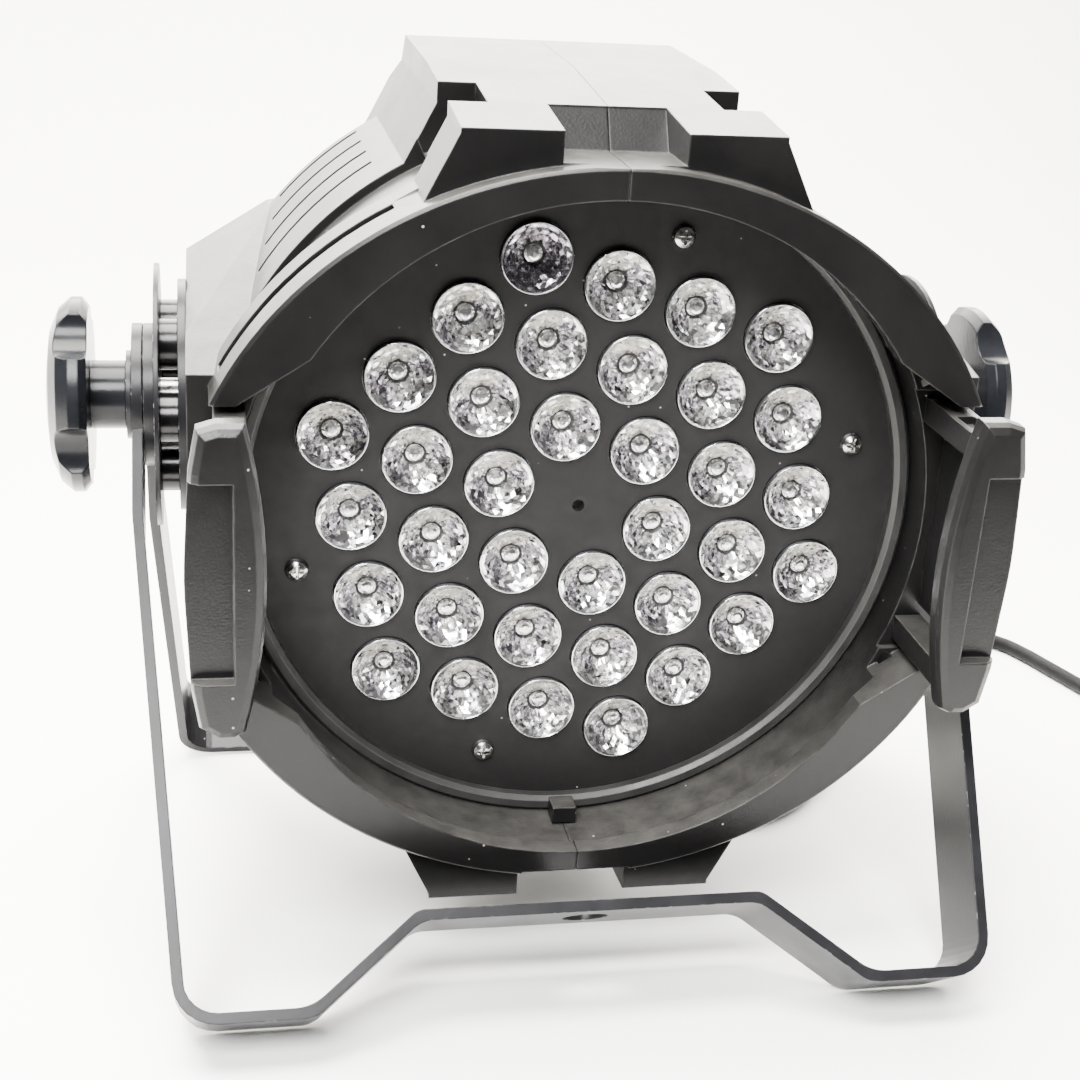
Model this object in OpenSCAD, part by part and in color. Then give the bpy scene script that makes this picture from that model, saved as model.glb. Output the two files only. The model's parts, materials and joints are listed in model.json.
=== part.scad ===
// LED par can light: a cast two-shell lamp head on two pressed-steel yokes, standing on the floor.
// The head's own frame has its origin at the centre of the lens plate's front face:
// +X to the right, +Y backwards along the lamp's axis, +Z up.

/* [Lamp head] */
// Outer width of the front ring
ring_w = 221; // [200:0.5:240]
// Outer height of the front ring
ring_h = 201.4; // [180:0.2:220]
// Inside diameter of the front ring's lip
mouth_d = 185.2; // [160:0.2:210]
// Distance from the ring's front face back to the lens plate
ring_reach = 30.6; // [20:0.2:40]
// Outside diameter of the cast body
body_d = 205; // [176:1:236]
// Inside diameter of the cast body
cavity_d = 197; // [168:1:228]
// Length of the castings behind the lens plate
body_len = 112; // [95:1:140]
// Half height of the flat-topped hood at its front
hood_z = 107.3; // [95:0.1:120]
// How far the head is tipped, front end down
head_tilt = 6; // [-10:0.5:15]

/* [Lenses] */
// Distance between neighbouring lenses
lens_pitch = 24; // [20:0.5:28]
// Diameter of one lens
lens_d = 19.6; // [16:0.5:23]
// Turn of the lens pattern about the lamp's axis
lens_turn = 17.1; // [0:0.1:60]
// Radius on which the four plate screws lie
plate_screw_r = 80; // [76:0.5:88]

/* [Accessory arms] */
// Distance from the lens plate forward to the arms' front face
arm_reach = 52; // [45:0.5:60]
// Half height of an arm
arm_half = 41; // [34:0.5:48]
// Distance from the axis to an arm's inner edge at mid height
arm_inner = 88; // [80:0.5:92]
// Distance from the axis to an arm's outer edge at mid height
arm_outer = 107; // [100:0.5:112]

/* [Yokes] */
// Distance from the pivot to the underside of a yoke's feet
yoke_len = 182; // [165:1:200]
// Distance from the pivot to the underside of a yoke's middle bar
yoke_bar = 158.5; // [145:0.5:170]
// Lean of each yoke away from straight down
yoke_lean = 35.5; // [25:0.5:45]
// Width of the yoke strap
strap_w = 26; // [20:1:34]
// Thickness of the yoke strap
strap_t = 3; // [2:0.5:5]
// Radius of the clamp hole in a yoke's middle bar
clamp_hole_r = 6.5; // [4:0.5:8]

/* [Knobs] */
// Diameter of a hand knob across its lobes
knob_d = 57; // [44:1:66]
// Thickness of a hand knob
knob_t = 12; // [8:0.5:18]
// Number of lobes on a knob
knob_lobes = 5; // [3:1:8]

/* [Power cord] */
// Diameter of the cord
cord_d = 6.2; // [5:0.1:8]
// Radius of the coil at the middle of its turns
coil_r = 33; // [30:1:40]

/* [Hidden] */

eps = 0.01;
fine = 96;
medium = 48;
ring_drop = -0.9;
mouth_r = mouth_d / 2;
body_r = body_d / 2;
cavity_r = cavity_d / 2;

// The pivot in the head's frame, and its height over the floor
pivot_y = 60;
pivot_z = 13;
pivot_h = yoke_len * cos(yoke_lean) + strap_w / 2 * sin(yoke_lean);

// Black finishes of the parts
cast_black = [0.07, 0.07, 0.08];
steel_black = [0.10, 0.10, 0.11];
plastic_grey = [0.22, 0.23, 0.25];
matt_black = [0.05, 0.05, 0.05];

// Front plate parts
plate_r = 96;
plate_t = 2;
bezel_in = 91.6;
mouth_wall_r = 96.6;

// Places along the lamp's axis
board_y = 12;
sink_y = 14;
fin_y = 20;
fin_end = 45;
fan_y = 45.2;
fan_t = 25;
fan_half = 46;
psu_y = 84;
cover_y = body_len;
cover_end = 130;
cover_face_r = 86;

// Hood, notch and side pads
notch_half = 15.7;
recess_y = 0;
recess_w = 21;
recess_in = 31;
ring_flat = 99.5;
pad_x = 107;
pad_half = 46;
vent_start = 123;
vent_turn = 25;
vent_step = 2.6;
vent_out = 125;
groove_start = 115.5;
groove_turn = 35.5;
groove_y = -1.5;
groove_w = 23.5;
lip_y = -17.5;
lip_turn = 33;
vent_w = 2.6;
vent_ys = [42.5, 59, 75.5, 91.5];

// Pivot stack, measured outwards from the middle plane
hub_in = pad_x;
hub_t = 2.4;
post_len = 5.2;
disc_t = 1.4;
hub_post_x = hub_in + hub_t;
disc_x = hub_post_x + post_len;
strap_rear_x = disc_x + disc_t + 0.3;
strap_front_x = strap_rear_x + strap_t + 0.3;
washer_x = strap_front_x + strap_t + 0.3;
washer_t = 1.5;
stem_x = washer_x + washer_t;
knob_x = 134.6;
stud_r = 4.95;
bore_r = 5;

// Rear panel layout, in the head's frame
display_z = 38;
button_z = 12;
button_xs = [-30, -10, 10, 30];
socket_x = 36;
socket_z = -20;
gland_x = 34;
gland_z = -48;
fuse_z = -58;
fuse_x = -34;

// Cord route on the floor and up to the gland, floor frame
cord_r = cord_d / 2;
coil_pos = [312, 84];
relief_len = 20;
cord_points = [
    [54, 36, 3.1], [58, 26, 3.1], [67, 19, 3.1], [79, 17, 3.1], [92, 21, 3.1], [104, 30, 3.1],
    [116, 44, 3.1], [130, 64, 3.1], [146, 88, 3.1], [164, 114, 3.1], [183, 140, 3.1],
    [202, 165, 3.1], [218, 182, 3.1], [232, 190, 3.1], [244, 189, 3.1], [253, 180, 3.1],
    [258, 165, 3.1], [261, 148, 3.1], [264, 130, 3.1], [267, 112, 3.1], [270, 99, 3.1]
];

// ---------- placing ----------

// From the head's frame to the floor frame
module head() {
    translate([0, 0, pivot_h]) rotate([head_tilt, 0, 0]) translate([0, -pivot_y, -pivot_z]) children();
}

function head_to_floor(p) = let(y = p.y - pivot_y, z = p.z - pivot_z)
    [p.x, y * cos(head_tilt) - z * sin(head_tilt), pivot_h + y * sin(head_tilt) + z * cos(head_tilt)];

// A shape drawn in X and Z, extruded backwards from y0
module slab(y0, h) {
    translate([0, y0 + h, 0]) rotate([90, 0, 0]) linear_extrude(h) children();
}

// A shape drawn in Y and Z, extruded along +X from x0
module across(x0, h) {
    translate([x0, 0, 0]) rotate([90, 0, 90]) linear_extrude(h) children();
}

// A solid turned about the lamp's axis from a profile of [radius, y]
module turned(profile, turn = 360, start = 0) {
    rotate([-90, 0, 0]) rotate([0, 0, -start - turn]) rotate_extrude(angle = turn, $fn = fine)
        polygon(profile);
}

module rod_y(r, y0, y1, x = 0, z = 0, fn = medium) {
    translate([x, y0, z]) rotate([-90, 0, 0]) cylinder(r = r, h = y1 - y0, $fn = fn);
}

module rod_x(r, x0, x1, y = pivot_y, z = pivot_z, fn = medium) {
    translate([x0, y, z]) rotate([0, 90, 0]) cylinder(r = r, h = x1 - x0, $fn = fn);
}

module box(low, high) {
    translate(low) cube(high - low);
}

// Put a right-hand part on either side
module sided(side) {
    if (side > 0) children();
    else mirror([1, 0, 0]) children();
}

// ---------- outlines ----------

function unit(v) = v / norm(v);

// The arc that rounds the corner at b between a and c
function corner(a, b, c, r, n = 6) =
    let(u = unit(a - b), v = unit(c - b), half = acos(u * v) / 2, mid = b + unit(u + v) * r / sin(half),
        s = b + u * r / tan(half) - mid, e = b + v * r / tan(half) - mid,
        t0 = atan2(s.y, s.x), dt = (atan2(e.y, e.x) - t0 + 540) % 360 - 180)
    [for (i = [0 : n]) mid + r * [cos(t0 + dt * i / n), sin(t0 + dt * i / n)]];

function rounded_path(p, r) = [
    p[0],
    for (i = [1 : len(p) - 2]) each corner(p[i - 1], p[i], p[i + 1], r[i]),
    p[len(p) - 1]
];

// The same open path moved sideways by t
function side_path(p, t) = [for (i = [0 : len(p) - 1])
    let(a = i == 0 ? unit(p[1] - p[0]) : unit(p[i] - p[i - 1]),
        b = i == len(p) - 1 ? a : unit(p[i + 1] - p[i]),
        na = [-a.y, a.x], nb = [-b.y, b.x])
    p[i] + t * (na + nb) / (1 + na * nb)];

// ---------- the two cast shells ----------

// Cross-section of the hood: flat top, sloping flanks
module hood_section(top) {
    polygon([[-62, 66], [-50.3, 87.8], [-41.2, 106], [-41.2, top], [41.2, top], [41.2, 106],
        [50.3, 87.8], [62, 66]]);
}

module hood_side() {
    polygon([[-24.7, 50], [-24.7, hood_z], [0, hood_z + 2.5], [21, hood_z + 4.3], [45, hood_z + 6.2],
        [98, hood_z + 7],
        [body_len, 100], [body_len, 50]]);
}

module hood() {
    intersection() {
        union() {
            slab(-24.7, 24.7 + recess_y) hood_section(125);
            slab(recess_y - 1, recess_w + 2) translate([-recess_in, 70]) square([2 * recess_in, 55]);
            slab(recess_y + recess_w, body_len - recess_y - recess_w) hood_section(125);
        }
        across(-70, 140) hood_side();
    }
}

module notch() {
    across(-notch_half, 2 * notch_half)
        polygon([[-40, ring_flat], [-6, ring_flat], [0, hood_z + 2], [0, 130], [-40, 130]]);
}

// Flat pad that carries the pivot, on the right side
module side_pad() {
    intersection() {
        slab(-14, 120)
            polygon([[70, -64], [82, -62], [pad_x, -pad_half], [pad_x, pad_half], [82, 62], [70, 64]]);
        across(60, 60)
            polygon([[-14, -42], [106, -64], [106, 64], [-14, 42]]);
    }
}

// One slot cut from the outside down to radius deep, between two depths, round part of the barrel
module slot_round(deep, y0, y1, turn, start) {
    turned([[deep, y0], [vent_out, y0], [vent_out, y1], [deep, y1]], turn, start);
}

// Four narrow vents that grow longer forwards, one broad stepped groove and one front groove
module shoulder_vents() {
    for (i = [0 : len(vent_ys) - 1])
        slot_round(90, vent_ys[i], vent_ys[i] + vent_w, vent_turn - i * vent_step, vent_start);
    slot_round(90, groove_y, groove_y + 8, groove_turn, groove_start);
    slot_round(100, groove_y + 7, groove_y + groove_w, groove_turn, groove_start);
    slot_round(98.4, lip_y, lip_y + 5.5, lip_turn, vent_start);
}

module all_shoulder_vents() {
    for (side = [0, 1], low = [0, 1])
        mirror([side, 0, 0]) mirror([0, 0, low]) shoulder_vents();
}

// The front of the barrel is wider than it is high
module front_ring() {
    intersection() {
        translate([0, 0, ring_drop]) scale([ring_w / 200, 1, ring_h / 200])
            turned([[0, -ring_reach], [99.2, -ring_reach], [100, -ring_reach + 0.8], [100, groove_y],
                [0, groove_y]]);
        slab(-ring_reach - 1, 60) square([2 * pad_x, 260], center = true);
    }
}

module shell_blank() {
    turned([[0, -11], [body_r, -11], [body_r, 98], [body_r - 5, body_len], [0, body_len]]);
    front_ring();
    hood();
    scale([1, 1, 1.03]) mirror([0, 0, 1]) hood();
    side_pad();
    mirror([1, 0, 0]) side_pad();
}

module shell_cuts() {
    // mouth, wall round the lens plate, and the cavity behind
    translate([0, 0, ring_drop])
        turned([[0, -40], [mouth_r, -40], [mouth_r, -ring_reach + 6], [mouth_wall_r, -ring_reach + 9],
            [0, -19]]);
    turned([[0, -22], [mouth_wall_r, -ring_reach + 9], [mouth_wall_r, 4], [cavity_r, 6], [cavity_r, 104],
        [93, 108], [93, 120], [0, 120]]);
    notch();
    mirror([0, 0, 1]) notch();
    all_shoulder_vents();
    for (s = [-1, 1]) {
        // the ring thins out and stops short of the arms, and a window shows the heat sink
        slab(-40, 24) polygon([[s * 60, -56], [s * 75, -52], [s * 95, -arm_half + 2], [s * 95, arm_half - 2],
            [s * 75, 52], [s * 60, 56]]);
        box([s > 0 ? 60 : -120, -40, -arm_half + 2], [s > 0 ? 120 : -60, -14, arm_half - 2]);
        box([s > 0 ? 90 : -120, 3, -19], [s > 0 ? 120 : -90, 26, 15]);
        // pocket for the arm's tongue
        box([s * 101.5 - 2.1, -15, -20.1], [s * 101.5 + 2.1, -6, 20.1]);
        rod_x(8.05, s > 0 ? 90 : -112, s > 0 ? 112 : -90);
    }
    rear_screw_places() rod_y(1.95, 100, 120);
}

module shell_inner() {
    difference() {
        union() {
            for (s = [-1, 1]) rod_x(14, s > 0 ? 88 : -104, s > 0 ? 104 : -88);
            for (s = [-1, 1], y = [62, 94]) box([-9, y - 5, s * 93.5 - 5.5], [9, y + 5, s * 93.5 + 5.5]);
            rear_screw_places() rod_y(5, 100, body_len);
        }
        for (s = [-1, 1]) rod_x(8.05, s > 0 ? 80 : -112, s > 0 ? 112 : -80);
        for (s = [-1, 1], y = [62, 94]) translate([0, y, s * 93]) rotate([0, 90, 0])
            cylinder(r = 2.05, h = 40, center = true, $fn = 32);
        rear_screw_places() rod_y(1.95, 90, 120);
    }
}

module shell(side) {
    color(cast_black) head() intersection() {
        union() {
            difference() {
                shell_blank();
                shell_cuts();
            }
            intersection() {
                shell_inner();
                rod_y(cavity_r + 1, -20, body_len);
            }
        }
        box([side > 0 ? 0.1 : -130, -60, -140], [side > 0 ? 130 : -0.1, 140, 140]);
    }
}

module shell_left() { shell(-1); }
module shell_right() { shell(1); }

// Screws along X that pull the two shells together
module shell_screws() {
    color([0.5, 0.5, 0.52]) head() for (s = [-1, 1], y = [62, 94]) translate([0, y, s * 93]) {
        rotate([0, 90, 0]) cylinder(r = 2, h = 20, center = true, $fn = 32);
        translate([9, 0, 0]) rotate([0, 90, 0]) cylinder(r = 3.4, h = 2.4, $fn = 32);
        translate([-11.4, 0, 0]) rotate([0, 90, 0]) cylinder(r = 3.6, h = 2.4, $fn = 6);
    }
}

// Square clip over the seam at the bottom of the mouth
module seam_clip() {
    color(cast_black) head() box([-3.5, -11, -mouth_wall_r + 0.6], [3.5, -4.2, -91]);
}

// ---------- accessory arms ----------

// Right arm's outline, bowed inside and bulging outside
function arm_inner_edge(z) = arm_inner + 5.2 * pow(z / arm_half, 2);

module arm_outline() {
    polygon([
        for (i = [-6 : 6]) let(z = i / 6 * arm_half) [arm_inner_edge(z), z],
        [arm_outer - 7, arm_half], [arm_outer - 2.2, arm_half - 1.5], [arm_outer - 0.3, 28.5],
        [arm_outer - 1.8, 26.5],
        for (i = [5 : -1 : -5]) let(z = i / 5 * 25) [arm_outer + 1 - 2.8 * pow(z / 25, 2), z],
        [arm_outer - 1.8, -26.5], [arm_outer - 0.3, -28.5], [arm_outer - 2.2, -arm_half + 1.5],
        [arm_outer - 7, -arm_half - 1.5], [arm_inner + 8, -arm_half - 1.5]
    ]);
}

module arm(side) {
    color(cast_black) head() sided(side) {
        difference() {
            union() {
                hull() {
                    slab(-arm_reach, 1) offset(delta = -2.6) arm_outline();
                    slab(-arm_reach + 1.1, 1) offset(delta = -0.8) arm_outline();
                    slab(-arm_reach + 3, 4) arm_outline();
                }
                // outer web back to the shell, with its tongue
                box([99.4, -arm_reach + 6, -26], [104.4, -14, 26]);
                box([99.5, -15, -20], [103.5, -6.1, 20]);
                for (s = [-1, 1]) box([92.5, -arm_reach + 6, s * 33 - 3.5], [100.5, -14, s * 33 + 3.5]);
            }
            // the outer middle of the front face lies deeper than the ends and the inner strip
            box([96, -arm_reach - 1, -26.5], [120, -arm_reach + 4, 26.5]);
            for (s = [-1, 1]) box([94, -40, s * 34.5 - 1.2 + s], [99, -31, s * 34.5 + 1.2 + s]);
        }
    }
}

module arm_left() { arm(-1); }
module arm_right() { arm(1); }

// ---------- lens plate and optics ----------

// Hexagon of 7 rows without its middle place
lens_places = [for (j = [-3 : 3], k = [0 : 6 - abs(j)])
    let(a = (k - (6 - abs(j)) / 2) * lens_pitch, b = j * lens_pitch * sqrt(3) / 2)
    if (abs(a) + abs(b) > 1)
    [a * cos(lens_turn) + b * sin(lens_turn), b * cos(lens_turn) - a * sin(lens_turn)]];

module at_lenses() {
    for (p = lens_places) translate([p.x, 0, p.y]) children();
}

screw_angles = [73, 13, 253, 193];

module at_plate_screws() {
    for (a = screw_angles) translate([plate_screw_r * cos(a), 0, plate_screw_r * sin(a)]) children();
}

module lens_plate() {
    color(matt_black) head() difference() {
        rod_y(plate_r, 0, plate_t, fn = fine);
        at_lenses() rod_y(lens_d / 2 + 0.2, -1, 3);
        at_plate_screws() rod_y(1.9, -1, 3);
        rod_y(1.7, -1, 3);
    }
}

module plate_bezel() {
    color([0.16, 0.16, 0.17]) head() turned([[bezel_in, -0.05], [bezel_in, -2.6], [bezel_in + 1.2, -3.8],
        [mouth_wall_r - 1.6, -3.8], [mouth_wall_r - 0.4, -2.6], [mouth_wall_r - 0.4, -0.05]]);
}

module plate_screws() {
    color([0.8, 0.8, 0.8]) head() at_plate_screws() difference() {
        union() {
            rod_y(1.8, -0.5, 9, fn = 32);
            turn_y([[0, -2.4], [1.6, -2.2], [2.8, -1.4], [3.4, -0.05], [0, -0.05]]);
        }
        box([-0.35, -3, -1.9], [0.35, -1, 1.9]);
        box([-1.9, -3, -0.35], [1.9, -1, 0.35]);
    }
}

// A small turned solid about its own place on the axis
module turn_y(profile) {
    rotate([-90, 0, 0]) rotate_extrude($fn = 32) polygon(profile);
}

module plate_posts() {
    color([0.7, 0.7, 0.7]) head() at_plate_screws() difference() {
        rod_y(4, plate_t + 0.05, sink_y - 0.05, fn = 32);
        rod_y(1.9, 0, 20, fn = 32);
    }
}

module lenses() {
    lr = lens_d / 2;
    color([0.9, 0.93, 0.95], 0.5) head() at_lenses()
        turn_y([[0, -2.2], [3, -2.1], [6, -1.7], [8.5, -1.1], [lr - 0.4, -0.5], [lr, 0], [lr, 1.6],
            [9, 2.6], [4.5, 9.4], [0, 9.4]]);
}

module lens_cups() {
    color(matt_black) head() at_lenses() difference() {
        rod_y(lens_d / 2 + 0.9, plate_t + 0.05, 5, fn = 32);
        rod_y(lens_d / 2 + 0.1, 0, 6, fn = 32);
    }
    color(matt_black) head() at_lenses() difference() {
        turn_y([[0, 4.9], [lens_d / 2 + 0.9, 4.9], [6.4, board_y - 0.05], [0, board_y - 0.05]]);
        turn_y([[0, 4.8], [lens_d / 2 + 0.1, 4.8], [5.6, board_y], [0, board_y + 0.1]]);
    }
}

module led_board() {
    color([0.9, 0.9, 0.88]) head() difference() {
        rod_y(90, board_y, sink_y - 0.05, fn = fine);
        at_plate_screws() rod_y(4.2, 0, 20, fn = 32);
    }
}

module led_chips() {
    color([0.95, 0.9, 0.5]) head() at_lenses() box([-3, board_y - 2, -3], [3, board_y - 0.05, 3]);
}

// Round base with horizontal fins, open behind the plate posts
module heat_sink() {
    color([0.75, 0.76, 0.78]) head() difference() {
        union() {
            rod_y(93, sink_y, fin_y, fn = fine);
            for (z = [-88 : 4 : 88]) {
                half = sqrt(96.5 * 96.5 - z * z);
                box([-half, fin_y - 1, z - 0.8], [half, fin_end, z + 0.8]);
            }
        }
        at_plate_screws() rod_y(1.6, 0, 18, fn = 32);
    }
}

// ---------- fan ----------

module fan_frame() {
    color(matt_black) head() difference() {
        union() {
            difference() {
                box([-fan_half, fan_y, -fan_half], [fan_half, fan_y + fan_t, fan_half]);
                rod_y(44, fan_y - 1, fan_y + fan_t + 1, fn = fine);
            }
            rod_y(19, fan_y + fan_t - 3, fan_y + fan_t);
            for (a = [45 : 90 : 315])
                rotate([0, a, 0]) box([18, fan_y + fan_t - 3, -2.5], [45, fan_y + fan_t, 2.5]);
            rod_y(1.5, fan_y + 4, fan_y + fan_t - 1, fn = 32);
        }
        for (sx = [-1, 1], sz = [-1, 1]) rod_y(2.2, fan_y - 1, fan_y + fan_t + 1, sx * 41, sz * 41, 32);
    }
}

module fan_rotor() {
    color([0.12, 0.12, 0.12]) head() difference() {
        union() {
            rod_y(18, fan_y + 2, fan_y + fan_t - 4);
            for (i = [0 : 6]) rotate([0, i * 360 / 7, 0]) translate([0, fan_y + 11.5, 0])
                rotate([38, 0, 0]) box([16, -9, -0.8], [42, 9, 0.8]);
        }
        rod_y(1.55, fan_y + 3.7, fan_y + fan_t, fn = 32);
    }
}

// ---------- power supply ----------

psu_corners = [for (sx = [-1, 1], sz = [-1, 1]) [sx * 56, sz * 32]];

module psu_board() {
    color([0.05, 0.3, 0.15]) head() difference() {
        box([-62, psu_y, -38], [62, psu_y + 1.6, 38]);
        for (p = psu_corners) rod_y(1.6, psu_y - 1, psu_y + 3, p.x, p.y, 32);
    }
}

module psu_parts() {
    color([0.8, 0.7, 0.2]) head() {
        box([-26, psu_y + 1.65, -16], [4, psu_y + 20, 14]);
        rod_y(9, psu_y + 1.65, psu_y + 20, 24, 14);
        rod_y(9, psu_y + 1.65, psu_y + 20, 24, -10);
        box([-50, psu_y + 1.65, -30], [-34, psu_y + 14, -8]);
        box([40, psu_y + 1.65, -28], [52, psu_y + 16, 20]);
    }
}

module psu_posts() {
    color([0.7, 0.6, 0.3]) head() for (p = psu_corners)
        rod_y(3, psu_y + 1.65, cover_end - 3.05, p.x, p.y, 32);
}

// ---------- rear cover and its fittings ----------

module rear_screw_places() {
    for (a = [30 : 60 : 330]) rotate([0, a, 0]) translate([94.5, 0, 0]) children();
}

module rear_cover() {
    color(cast_black) head() difference() {
        turned([[0, cover_y + 0.05], [97.3, cover_y + 0.05], [97.3, cover_y + 3], [91.5, cover_y + 4],
            [cover_face_r + 2, cover_end - 3], [cover_face_r - 1, cover_end], [0, cover_end]]);
        turned([[0, cover_y - 1], [89, cover_y - 1], [cover_face_r - 2, cover_end - 3], [0, cover_end - 3]]);
        rear_screw_places() rod_y(2, cover_y - 2, cover_y + 9, fn = 32);
        box([-23, cover_end - 5, display_z - 10], [23, cover_end + 1, display_z + 10]);
        for (x = button_xs) rod_y(4.3, cover_end - 5, cover_end + 1, x, button_z, 32);
        for (s = [-1, 1]) rod_y(11.7, cover_end - 5, cover_end + 1, s * socket_x, socket_z);
        rod_y(7.05, cover_end - 5, cover_end + 1, gland_x, gland_z);
        rod_y(6.55, cover_end - 5, cover_end + 1, fuse_x, fuse_z);
        for (s = [-1, 1]) rod_y(2.1, cover_end - 5, cover_end + 1, s * 9, 70, 32);
        for (x = [-12 : 6 : 12]) box([x - 1.2, cover_end - 5, -75], [x + 1.2, cover_end + 1, -45]);
    }
}

module rear_screws() {
    color([0.5, 0.5, 0.52]) head() rear_screw_places() difference() {
        union() {
            rod_y(1.85, cover_y - 9, cover_y + 4, fn = 32);
            rod_y(2.9, cover_y + 4.1, cover_y + 6.2, fn = 32);
            rod_y(1.85, cover_y + 3, cover_y + 5, fn = 32);
        }
        rod_y(1.5, cover_y + 5, cover_y + 8, fn = 6);
    }
}

module control_board() {
    color([0.05, 0.3, 0.15]) head() {
        box([-40, cover_end - 7.6, 3], [40, cover_end - 6, 50]);
        box([-21, cover_end - 6, display_z - 8.5], [21, cover_end - 2.1, display_z + 8.5]);
        for (x = button_xs) box([x - 3, cover_end - 6, button_z - 3], [x + 3, cover_end - 5, button_z + 3]);
    }
}

module display_window() {
    color([0.3, 0.02, 0.02], 0.7) head()
        box([-22.9, cover_end - 2, display_z - 9.9], [22.9, cover_end + 0.4, display_z + 9.9]);
}

// A push button: cap, stem through the panel and collar behind it
module panel_button(index) {
    x = button_xs[index];
    color([0.2, 0.2, 0.21]) head() {
        rod_y(4.1, cover_end - 3.4, cover_end + 2.2, x, button_z, 32);
        rod_y(5.4, cover_end - 3.9, cover_end - 3.2, x, button_z, 32);
    }
}

module button_menu() { panel_button(0); }
module button_up() { panel_button(1); }
module button_down() { panel_button(2); }
module button_enter() { panel_button(3); }

// Round chassis socket with a flange; the male one carries pins
module dmx_socket(x, well_r, depth) {
    color([0.14, 0.14, 0.15]) head() difference() {
        union() {
            box([x - 13, cover_end + 0.05, socket_z - 15.5], [x + 13, cover_end + 2, socket_z + 15.5]);
            rod_y(11.6, cover_end - 14, cover_end + 1, x, socket_z);
        }
        rod_y(well_r, cover_end + 2 - depth, cover_end + 3, x, socket_z);
        for (s = [-1, 1])
            rod_y(1.6, cover_end - 1, cover_end + 3, x + s * 9.6, socket_z + s * 12.2, 32);
        if (well_r < 9)
            for (a = [90, 210, 330])
                rod_y(1.3, cover_end - 13, cover_end + 3, x + 4.5 * cos(a), socket_z + 4.5 * sin(a), 32);
    }
}

module dmx_in() { dmx_socket(-socket_x, 9.4, 13); }

module dmx_out() {
    dmx_socket(socket_x, 8, 3);
}

module dmx_pins() {
    color([0.8, 0.8, 0.78]) head() for (a = [90, 210, 330])
        rod_y(1.2, cover_end - 10.95, cover_end - 1, -socket_x + 4.5 * cos(a), socket_z + 4.5 * sin(a), 32);
}

module fuse_holder() {
    color(matt_black) head() difference() {
        union() {
            rod_y(6.5, cover_end - 16, cover_end + 0.1, fuse_x, fuse_z);
            rod_y(8.5, cover_end + 0.05, cover_end + 2, fuse_x, fuse_z);
        }
        rod_y(4.55, cover_end - 14, cover_end + 3, fuse_x, fuse_z);
    }
}

module fuse_cap() {
    color(matt_black) head() difference() {
        union() {
            rod_y(4.5, cover_end - 8, cover_end + 3, fuse_x, fuse_z);
            rod_y(7, cover_end + 2.3, cover_end + 8, fuse_x, fuse_z);
        }
        box([fuse_x - 0.6, cover_end + 6.6, fuse_z - 5], [fuse_x + 0.6, cover_end + 9, fuse_z + 5]);
    }
}

// Bent eye for the safety cable
module safety_eye() {
    color(steel_black) head() {
        for (s = [-1, 1]) rod_y(2, cover_end - 6, cover_end + 8, s * 9, 70, 32);
        for (s = [-1, 1]) rod_y(3.6, cover_end - 5.4, cover_end - 3.1, s * 9, 70, 6);
        translate([0, cover_end + 8, 70]) rotate_extrude(angle = 180, $fn = medium)
            translate([9, 0]) circle(r = 2, $fn = 24);
    }
}

// ---------- power cord ----------

gland_end = cover_end + 9;

module cable_gland() {
    color(matt_black) head() difference() {
        union() {
            rod_y(7, cover_end - 8, cover_end + 1, gland_x, gland_z);
            rod_y(9.5, cover_end + 0.05, cover_end + 5, gland_x, gland_z, 6);
            rod_y(8, cover_end + 4.9, gland_end, gland_x, gland_z);
            rod_y(8.6, cover_end - 6, cover_end - 3.05, gland_x, gland_z, 6);
        }
        rod_y(cord_r + 0.9, cover_end - 9, gland_end + 1, gland_x, gland_z, 32);
    }
}

// Tapered sleeve held in the gland's bore
module cord_relief() {
    color(matt_black) head() translate([gland_x, 0, gland_z])
        turn_y([[0, cover_end - 6], [cord_r + 0.8, cover_end - 6], [cord_r + 0.8, gland_end + 0.1],
            [cord_r + 2.2, gland_end + 0.1], [cord_r + 0.4, gland_end + relief_len], [0, gland_end + relief_len]]);
}

relief_tip = head_to_floor([gland_x, gland_end + relief_len, gland_z]);
relief_exit = head_to_floor([gland_x, gland_end + relief_len + 6, gland_z]);
cord_drop = [
    relief_tip, relief_exit, [34, 118, 102.8], [34, 124, 94], [34, 127.5, 84], [34, 127, 76],
    [34, 123, 68], [34, 115, 59], [34.5, 105, 49.5], [35, 94, 40], [36.5, 82, 31], [39.5, 70, 22],
    [43.5, 59, 14], [47.5, 50, 8], [51.5, 42, 4.5]
];
cord_route = concat(cord_drop, cord_points);

// Sweep a round section along a route, level rings kept upright by the mean direction
function route_dir(p, i) = unit(p[min(i + 1, len(p) - 1)] - p[max(i - 1, 0)]);

function ring_at(p, i, r, n) =
    let(d = route_dir(p, i), side = unit(abs(d.z) > 0.95 ? cross(d, [1, 0, 0]) : cross(d, [0, 0, 1])),
        up = cross(side, d))
    [for (k = [0 : n - 1]) p[i] + r * (side * cos(360 * k / n) + up * sin(360 * k / n))];

module sweep(p, r, n = 10) {
    points = [for (i = [0 : len(p) - 1]) each ring_at(p, i, r, n)];
    last = (len(p) - 1) * n;
    faces = concat(
        [[for (k = [n - 1 : -1 : 0]) k]],
        [for (i = [0 : len(p) - 2], k = [0 : n - 1]) let(a = i * n + k, b = i * n + (k + 1) % n)
            [a, b, b + n, a + n]],
        [[for (k = [0 : n - 1]) last + k]]);
    polyhedron(points, faces, convexity = 6);
}

module power_cord() {
    color(matt_black) sweep(cord_route, cord_r);
}

coil_half = 1.5 * cord_d;

module cord_coil() {
    color(matt_black) translate([coil_pos.x, coil_pos.y, 0]) rotate_extrude($fn = medium)
        translate([coil_r - coil_half, 0]) square([2 * coil_half, 2 * cord_d]);
}

tail_route = [
    [351.2, 84, 9.3], [353, 92, 8.7], [353.5, 102, 5], [350.5, 112, 3.1], [345, 121, 3.1]
];

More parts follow.
